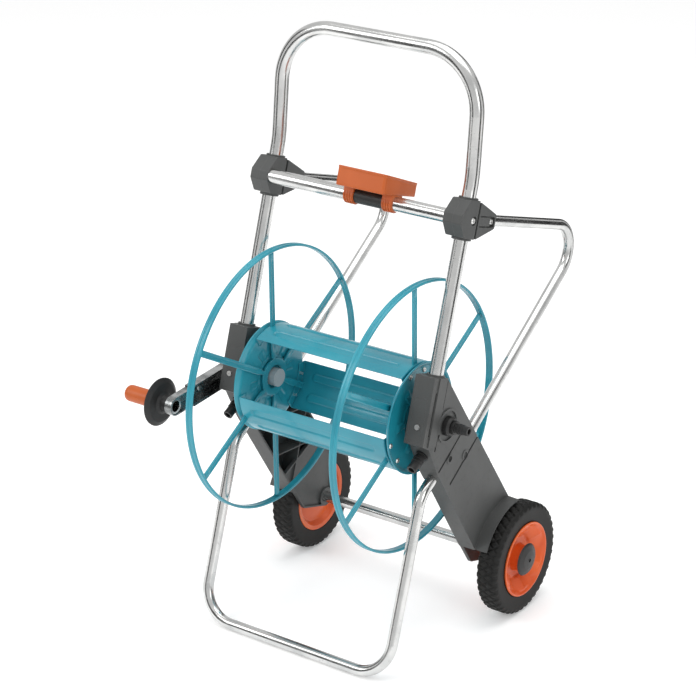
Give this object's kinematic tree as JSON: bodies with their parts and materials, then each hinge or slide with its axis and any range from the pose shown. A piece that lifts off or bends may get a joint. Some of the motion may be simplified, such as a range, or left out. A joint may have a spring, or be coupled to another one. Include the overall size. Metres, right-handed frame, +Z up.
{
  "type": "garden hose reel cart",
  "caption": "Tubular steel hose cart: a crank-turned drum between spoked rims, two wheels, foot bow, tall handle, side brackets, accessory tray and water inlet.",
  "frame": {"origin": "on the floor, straight below the middle of the reel's axis", "axes": "+X along the reel's axis towards the water inlet, +Y from the foot bow towards the wheels, +Z up"},
  "size_m": [0.5967, 0.6636, 1.0475],
  "materials": {
    "zinc_tube": "bright zinc-plated steel tube",
    "zinc_hardware": "zinc-plated screws, rivets and clips",
    "crank_steel": "zinc-plated pressed sheet",
    "axle_steel": "plain drawn steel",
    "grey_plastic": "light grey moulded plastic",
    "frame_plastic": "dark grey moulded plastic with a fine grain",
    "black_plastic": "black moulded plastic",
    "seal_rubber": "black rubber",
    "orange_plastic": "orange moulded plastic with a soft shine",
    "turquoise_paint": "turquoise powder coat on steel sheet and strip",
    "tyre_rubber": "black moulded tyre with a chevron tread"
  },
  "bodies": {
    "frame": {"handle_tube": "zinc_tube", "cross_tube": "zinc_tube", "foot_tube": "zinc_tube", "strut_left": "zinc_tube", "strut_right": "zinc_tube", "clamp_outer_left": "frame_plastic", "clamp_inner_left": "frame_plastic", "clamp_outer_right": "frame_plastic", "clamp_inner_right": "frame_plastic", "clamp_screws": "zinc_hardware", "bracket_left": "frame_plastic", "bracket_right": "frame_plastic", "bracket_plate_left": "frame_plastic", "bracket_plate_right": "frame_plastic", "bracket_cover_left": "frame_plastic", "bracket_cover_right": "frame_plastic", "bracket_screws": "zinc_hardware", "axle_tube": "zinc_tube", "axle_rod": "axle_steel", "axle_clips": "zinc_hardware", "parking_nipple_left": "black_plastic", "parking_nipple_right": "black_plastic", "reel_bush_left": "black_plastic", "reel_bush_right": "black_plastic", "inlet_collar": "black_plastic", "inlet_nipple": "black_plastic", "inlet_seal": "seal_rubber", "accessory_tray": "orange_plastic", "tray_clip_left": "orange_plastic", "tray_clip_right": "orange_plastic", "tray_sleeve": "black_plastic"},
    "reel": {"rim_left": "turquoise_paint", "rim_right": "turquoise_paint", "spokes_left": "turquoise_paint", "spokes_right": "turquoise_paint", "end_plate_left": "turquoise_paint", "end_plate_right": "turquoise_paint", "drum_panel_top": "turquoise_paint", "drum_panel_front": "turquoise_paint", "drum_panel_rear": "turquoise_paint", "panel_screws": "zinc_hardware", "crank_shaft": "grey_plastic", "water_spindle": "black_plastic", "water_elbow": "black_plastic", "crank_arm_inner": "crank_steel", "crank_arm_outer": "crank_steel", "crank_rivets": "zinc_hardware", "crank_spindle": "crank_steel", "grip_cap": "black_plastic"},
    "crank_grip": {"guard_disc": "black_plastic", "grip": "orange_plastic"},
    "wheel_left": {"tyre_left": "tyre_rubber", "wheel_left": "orange_plastic", "hub_cap_left": "black_plastic"},
    "wheel_right": {"tyre_right": "tyre_rubber", "wheel_right": "orange_plastic", "hub_cap_right": "black_plastic"}
  },
  "joints": [
    {"name": "reel_spin", "type": "hinge", "parent": "frame", "child": "reel", "pos_m": [0, 0, 0.428], "axis": [1, 0, 0], "continuous": true},
    {"name": "grip_spin", "type": "hinge", "parent": "reel", "child": "crank_grip", "pos_m": [-0.28, -0.17975, 0.41858], "axis": [1, 0, 0], "continuous": true},
    {"name": "wheel_left_spin", "type": "hinge", "parent": "frame", "child": "wheel_left", "pos_m": [-0.212, 0.192, 0.103], "axis": [1, 0, 0], "continuous": true},
    {"name": "wheel_right_spin", "type": "hinge", "parent": "frame", "child": "wheel_right", "pos_m": [0.237, 0.192, 0.103], "axis": [1, 0, 0], "continuous": true}
  ]
}
